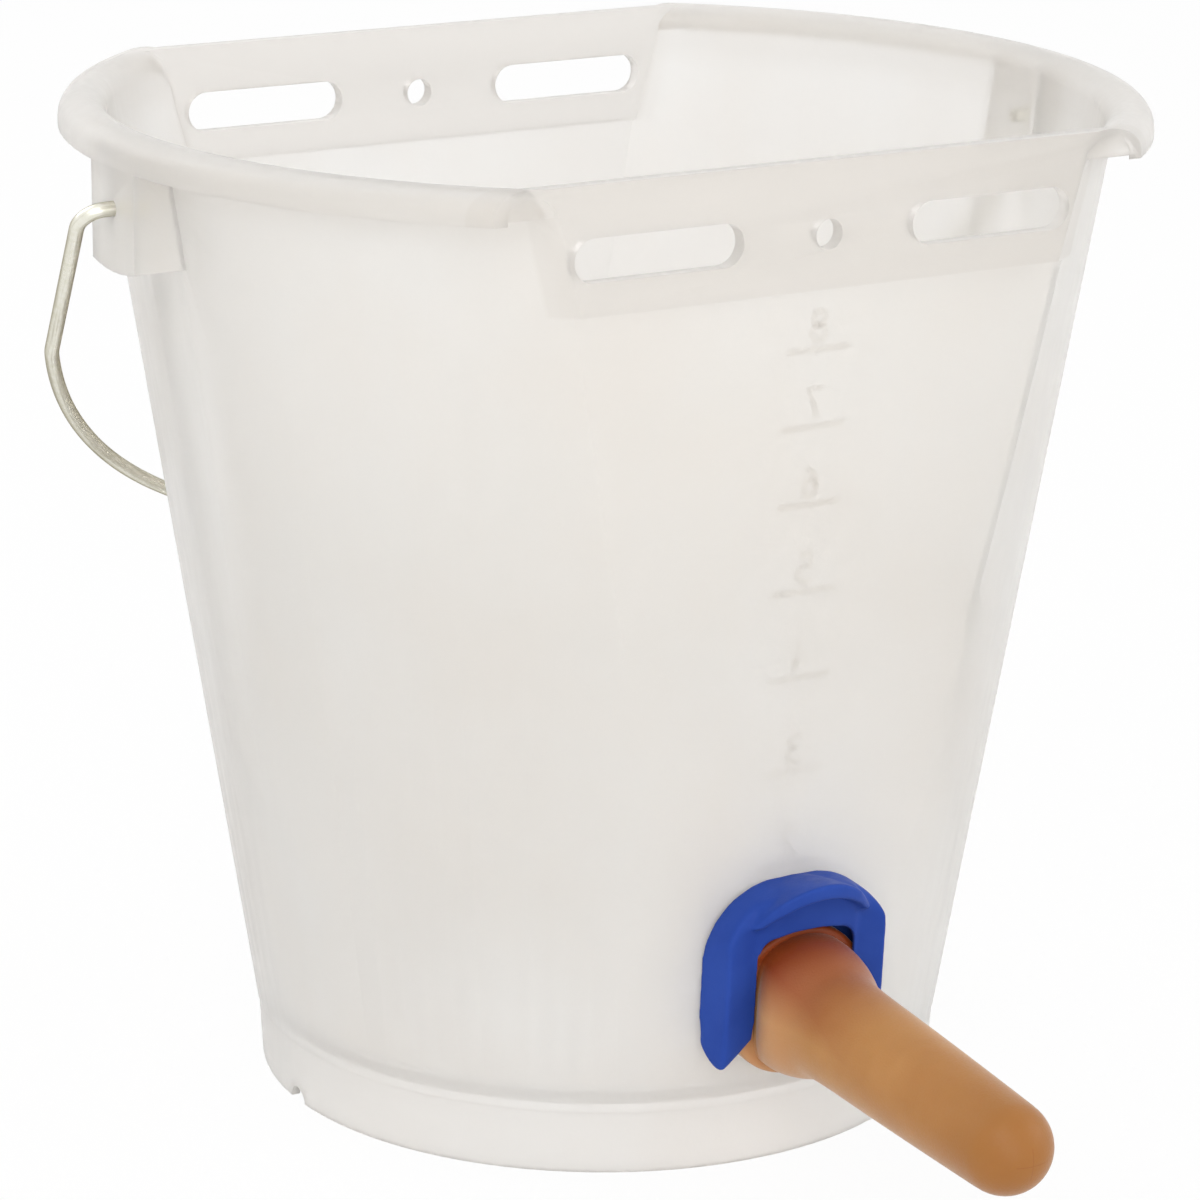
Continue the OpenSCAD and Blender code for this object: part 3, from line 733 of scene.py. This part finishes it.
def bail_line():
    """Half of the wire's middle line in its own plane, in mm."""
    wire_end, ear_face = (137.64, 0.0), (144.0, 0.0)
    ear_bend, ear_radius = (150.03, -6.2), 6.2
    arm_top, arm_foot, arm_turn = (156.164, -7.106), (148.155, -61.372), -8.4
    shoulder, shoulder_radius = (128.37, -58.45), 20
    crown, crown_radius, crown_turn = (0, -15), 155.52, -18.7
    half = [wire_end, ear_face]
    half += arc(ear_bend, ear_radius, 90, arm_turn, 9)
    half += straight(arm_top, arm_foot, 6)
    half += arc(shoulder, shoulder_radius, arm_turn, crown_turn, 3)[1:]
    half += arc(crown, crown_radius, crown_turn, -90, 1.5)[1:]
    return half


def line_mesh(name, lines):
    """Several polylines of points as one mesh of edges."""
    points, edges = [], []
    for line in lines:
        first = len(points)
        points += [tuple(p) for p in line]
        edges += [(i, i + 1) for i in range(first, len(points) - 1)]
    mesh = bpy.data.meshes.new(name)
    mesh.from_pydata(points, edges, [])
    return mesh


hang, hinge_height, wire_radius = math.radians(41.833), 0.260, 0.002
half = bail_line()
flat_line = [(-x, w) for x, w in half] + half[-2::-1]
flat_line = [(x / 1000, w / 1000) for x, w in flat_line]
hung = [(x, -w * math.sin(hang), hinge_height + w * math.cos(hang)) for x, w in flat_line]
bail = new_piece("bail_wire", line_mesh("bail_wire", [hung]))
wire.run(bail, Radius=wire_radius, Sides=20, Material=finishes["bail"])
shade(bail, sharp_angle=50)
dress(bail, "bail", "bail")

# %% [markdown]
# The teat is a turned shape: one outline, inside and out, carried round an axis. The tree below takes
# that outline as a line of points and lays a grid on it: one way along the outline, the other way round.
# The clip's legs nip the bulb at both sides, so each point of the outline also holds the half width that
# the rubber may have there, and a smooth rule keeps it to that.

# %% Lathe tree
def lathe_tree():
    t = Tree("lathe", Rings="Int", Sides="Int", Firmness="Float", Material="Material")
    grid = t.node("GeometryNodeMeshGrid")
    t.link(t.source.outputs["Rings"], grid.inputs["Vertices X"])
    t.link(t.source.outputs["Sides"], grid.inputs["Vertices Y"])
    where = t.node("ShaderNodeSeparateXYZ")
    t.link(t.node("GeometryNodeInputPosition").outputs[0], where.inputs[0])
    along = t.math("ADD", where.outputs["X"], 0.5)
    ring = t.math("ROUND", t.math("MULTIPLY", along, t.math("SUBTRACT", t.source.outputs["Rings"], 1.0)))
    turn = t.math("MULTIPLY", t.math("ADD", where.outputs["Y"], 0.5), 2 * math.pi)
    sample = t.node("GeometryNodeSampleIndex", data_type="FLOAT_VECTOR", domain="POINT")
    t.link(t.source.outputs["Geometry"], sample.inputs["Geometry"])
    t.link(t.node("GeometryNodeInputPosition").outputs[0], sample.inputs["Value"])
    t.link(ring, sample.inputs["Index"])
    outline = t.node("ShaderNodeSeparateXYZ")
    t.link(sample.outputs["Value"], outline.inputs[0])
    free = t.math("MULTIPLY", outline.outputs["X"], t.math("COSINE", turn))
    share = t.math("ABSOLUTE", t.math("DIVIDE", free, outline.outputs["Y"]))
    firm = t.source.outputs["Firmness"]
    press = t.math("POWER", t.math("ADD", t.math("POWER", share, firm), 1.0), t.math("DIVIDE", 1.0, firm))
    place = t.node("ShaderNodeCombineXYZ")
    t.link(t.math("DIVIDE", free, press), place.inputs["X"])
    t.link(t.math("MULTIPLY", outline.outputs["X"], t.math("SINE", turn)), place.inputs["Y"])
    t.link(outline.outputs["Z"], place.inputs["Z"])
    move = t.node("GeometryNodeSetPosition")
    t.link(grid.outputs["Mesh"], move.inputs["Geometry"])
    t.link(place.outputs[0], move.inputs["Position"])
    keep = t.node("GeometryNodeStoreNamedAttribute", data_type="FLOAT_VECTOR", domain="POINT")
    keep.inputs["Name"].default_value = "turned"
    t.link(move.outputs[0], keep.inputs["Geometry"])
    t.link(t.node("GeometryNodeInputPosition").outputs[0], keep.inputs["Value"])
    weld = t.node("GeometryNodeMergeByDistance")
    weld.inputs["Distance"].default_value = 1e-6
    t.link(keep.outputs[0], weld.inputs["Geometry"])
    t.close(weld.outputs[0])
    return t


lathe = lathe_tree()

# %% [markdown]
# The outline starts on the axis inside the tip, runs back along the milk channel, round the valve's
# flange and the collar's edge, and forward over the bulb and along the body to the tip again. The bulb is
# an arc that runs softly into the straight body. Each point holds its radius, the half width it may have
# and its distance out from the bucket's flat.

# %% Teat
free_width = 60.0
tip_middle, tip_radius = 104.5, 12.5


def teat_front(s):
    """Radius of the bulb and the body at a distance from the flat, in mm."""
    body_start, body_radius, body_swell = 8.3, 15.0, 0.3
    dome_out, dome_drop, dome_radius = 9.9, -8.7, 28.0
    neck_blend = 2.2
    share = (s - body_start) / (tip_middle - body_start)
    body = body_radius - (body_radius - tip_radius) * share + body_swell * math.sin(math.pi * share)
    dome = dome_drop + math.sqrt(max(dome_radius ** 2 - (s - dome_out) ** 2, 0))
    return (body + dome + math.hypot(body - dome, neck_blend)) / 2


def nip(s):
    """Half width that the clip's legs leave the rubber, in mm."""
    leg_gap, leg_front, leg_slope = 15.05, 10, math.radians(38)
    return leg_gap + max(s - leg_front, 0) * math.tan(leg_slope)


def teat_line():
    """The teat's outline: radius, half width it may have and distance from the flat."""
    channel_tip, channel_mouth = (8.0, 103), (10.1, 15.34)
    flange_pocket = [(10.1, 6.6), (18.1, 6.6), (18.1, 4.2), (13.3, 4.2), (13.3, 3.1), (21.0, 3.1)]
    back_edge, back_radius = (21.0, 3.6), 0.5
    collar_side = (21.5, 5.2)
    front_edge, front_radius = (19.9, 6.7), 1.6
    bulb_steps, body_steps = np.arange(8.32, 30, 0.4), np.arange(30, 104, 3.5)
    line = arc((0, channel_tip[1]), channel_tip[0], 90, 0, 10)
    line += straight(channel_tip, channel_mouth, 12)
    line += flange_pocket
    line += arc(back_edge, back_radius, -60, 0, 30)
    line += [collar_side] + arc(front_edge, front_radius, 0, 90, 15)
    line = [(r, free_width, s) for r, s in line]
    line += [(teat_front(s), nip(s), s) for s in np.concatenate([bulb_steps, body_steps])]
    line += [(r, free_width, s) for r, s in arc((0, tip_middle), tip_radius, 0, 90, 6)]
    line[0] = (0, free_width, line[0][2])
    line[-1] = (0, free_width, line[-1][2])
    return [(r / 1000, w / 1000, s / 1000) for r, w, s in line]


def face_outward(mesh):
    """Make every face look out of its solid."""
    form = bmesh.new()
    form.from_mesh(mesh)
    bmesh.ops.remove_doubles(form, verts=form.verts, dist=1e-6)
    bmesh.ops.dissolve_degenerate(form, edges=form.edges, dist=1e-7)
    bmesh.ops.recalc_face_normals(form, faces=form.faces)
    form.to_mesh(mesh)
    form.free()


outline = teat_line()
teat = new_piece("teat_rubber", line_mesh("teat_rubber", [outline]))
mesh = lathe.run(teat, Rings=len(outline), Sides=97, Firmness=6.0, Material=finishes["teat"])
mesh.transform(outlet)
face_outward(mesh)
shade(teat, sharp_angle=40)
dress(teat, "teat", "bucket")

# %% [markdown]
# Litre marks are moulded on the inside of the front flat, as low beads that show through the thin wall.
# Each mark is a figure and a short line. They are drawn as strokes in the flat's own plane, and the
# tree that made the bail's wire turns the strokes into beads. The figures are plain numbers.

# %% Litre marks
figures = {
    2: [[(0, 6.6), (0.5, 7.7), (1.8, 8.2), (3.2, 7.9), (4, 6.8), (3.8, 5.4), (2.6, 3.7), (0, 0.2),
         (4.4, 0.2)]],
    3: [[(0, 7.4), (1.6, 8.2), (3.2, 7.8), (3.9, 6.4), (3.2, 5), (1.6, 4.5)],
        [(1.6, 4.5), (3.4, 3.9), (4.2, 2.4), (3.4, 0.8), (1.7, 0.2), (0, 0.9)]],
    4: [[(3.2, 0), (3.2, 8.2), (0, 2.4), (4.6, 2.4)]],
    5: [[(4, 8.2), (0.6, 8.2), (0.3, 4.4), (1.9, 5), (3.5, 4.5), (4.3, 2.7), (3.5, 0.9), (1.8, 0.2),
         (0, 0.9)]],
    6: [[(3.6, 8.1), (1.6, 6.6), (0.4, 4.2), (0.2, 2.2), (1, 0.6), (2.3, 0.1), (3.6, 0.7), (4.2, 2.3),
         (3.6, 3.9), (2.3, 4.5), (1, 3.9), (0.2, 2.2)]],
    7: [[(0, 8.2), (4.4, 8.2), (2.6, 4.2), (1.6, 0)]],
    8: [[(2.2, 4.4), (0.8, 5), (0.3, 6.4), (1, 7.8), (2.2, 8.2), (3.4, 7.8), (4.1, 6.4), (3.6, 5), (2.2, 4.4),
         (0.7, 3.8), (0, 2.2), (0.7, 0.7), (2.2, 0.1), (3.7, 0.7), (4.4, 2.2), (3.7, 3.8), (2.2, 4.4)]],
}
mark_heights = {8: 229.4, 7: 208.5, 6: 187.3, 5: 163.3, 4: 139.2, 3: 112.6, 2: 85.7}
rule_across = (-9.5, -4, 4, 9.5)
figure_middle, figure_lift = 2.2, 2.2


def mark_strokes(depth, facing):
    """Every stroke in the outlet's frame, at a depth from the flat; facing -1 reads from inside."""
    lines = []
    for litres, height in mark_heights.items():
        up = (height - 1000 * outlet_place[2]) / math.cos(flat_lean)
        strokes = [[(x, up) for x in rule_across]]
        for stroke in figures[litres]:
            strokes.append([(facing * (x - figure_middle), up + y + figure_lift) for x, y in stroke])
        lines += [[(x / 1000, y / 1000, depth) for x, y in stroke] for stroke in strokes]
    return lines


def mark_beads(name, depth, facing, radius, lift):
    """Beads along the strokes, flattened to a lift over the wall."""
    piece = new_piece(name, line_mesh(name, mark_strokes(depth, facing)))
    mesh = wire.run(piece, Radius=radius, Sides=10, Material=mark_finish)
    points = points_of(mesh)
    points[:, 2] = depth + (points[:, 2] - depth) * lift / radius
    mesh.vertices.foreach_set("co", points.ravel())
    mesh.transform(outlet)
    face_outward(mesh)
    return piece


marks = mark_beads("litre_marks", depth=-0.0025, facing=-1, radius=0.0009, lift=0.00022)
shade(marks)
attach(marks, mark_finish, "bucket")
